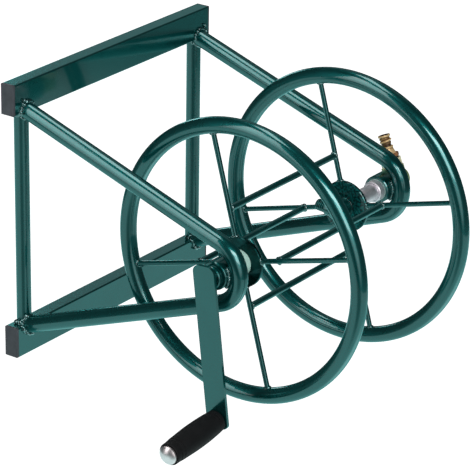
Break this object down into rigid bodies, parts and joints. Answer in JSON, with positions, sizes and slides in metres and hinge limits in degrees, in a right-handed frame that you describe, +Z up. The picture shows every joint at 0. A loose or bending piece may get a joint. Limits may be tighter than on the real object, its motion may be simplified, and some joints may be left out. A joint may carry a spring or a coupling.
{
  "type": "wall mounted hose reel",
  "caption": "Wall mounted garden hose reel with spoked tube wheels on a crank-driven axle, carried by bent tube arms on wall rails, fed through a brass swivel.",
  "frame": {"origin": "middle of the four wall fixings, on the wall plane", "axes": "+Y points into the wall and the reel stands out along -Y; +Z is up; +X runs along the rails away from the crank, towards the water inlet"},
  "size_m": [0.6516, 0.6215, 0.4861],
  "materials": {
    "green_paint": "gloss dark green enamel over welded steel tube, slightly uneven at welds",
    "plug_plastic": "moulded charcoal plastic",
    "nylon": "natural white nylon",
    "zinc_pipe": "galvanised, faint spangle",
    "bright_steel": "turned bright steel",
    "chrome_cap": "polished",
    "grip_core": "black moulded plastic",
    "foam": "black grip with moulded ridges",
    "brass": "turned brass, lightly tarnished",
    "seal_rubber": "black sealing rubber"
  },
  "bodies": {
    "frame": {"top_rail": "green_paint", "bottom_rail": "green_paint", "plug_top_left": "plug_plastic", "plug_top_right": "plug_plastic", "plug_bottom_left": "plug_plastic", "plug_bottom_right": "plug_plastic", "left_upright": "green_paint", "right_upright": "green_paint", "left_arm": "green_paint", "right_arm": "green_paint", "left_sleeve": "green_paint", "right_sleeve": "green_paint", "left_bush": "nylon", "right_bush": "nylon"},
    "reel": {"left_rim": "green_paint", "right_rim": "green_paint", "left_spoke_top": "green_paint", "left_spoke_front": "green_paint", "left_spoke_bottom": "green_paint", "left_spoke_back": "green_paint", "right_spoke_top": "green_paint", "right_spoke_front": "green_paint", "right_spoke_bottom": "green_paint", "right_spoke_back": "green_paint", "cross_bar_top": "green_paint", "cross_bar_front": "green_paint", "cross_bar_bottom": "green_paint", "cross_bar_back": "green_paint", "left_hub": "green_paint", "right_hub": "green_paint", "crank_shaft": "bright_steel", "hub_spacer": "nylon", "shaft_collar": "green_paint", "crank_bar": "green_paint", "grip_spindle": "bright_steel", "grip_cap": "chrome_cap", "water_pipe": "zinc_pipe", "pipe_collar": "zinc_pipe", "outlet_elbow": "green_paint", "outlet_nipple": "green_paint"},
    "grip": {"grip_tube": "grip_core", "grip_foam": "foam"},
    "swivel": {"swivel_body": "brass", "swivel_seals": "seal_rubber", "swivel_screw": "bright_steel", "inlet_barrel": "brass", "inlet_washer": "seal_rubber", "inlet_fitting": "brass"}
  },
  "joints": [
    {"name": "reel_spin", "type": "hinge", "parent": "frame", "child": "reel", "pos_m": [0, -0.3945, 0.007], "axis": [1, 0, 0], "continuous": true},
    {"name": "grip_spin", "type": "hinge", "parent": "reel", "child": "grip", "pos_m": [-0.30053, -0.40856, -0.22957], "axis": [-0.9969, -0.0047, -0.0783], "continuous": true},
    {"name": "swivel_spin", "type": "hinge", "parent": "frame", "child": "swivel", "pos_m": [0.26, -0.3945, 0.007], "axis": [1, 0, 0], "continuous": true}
  ]
}
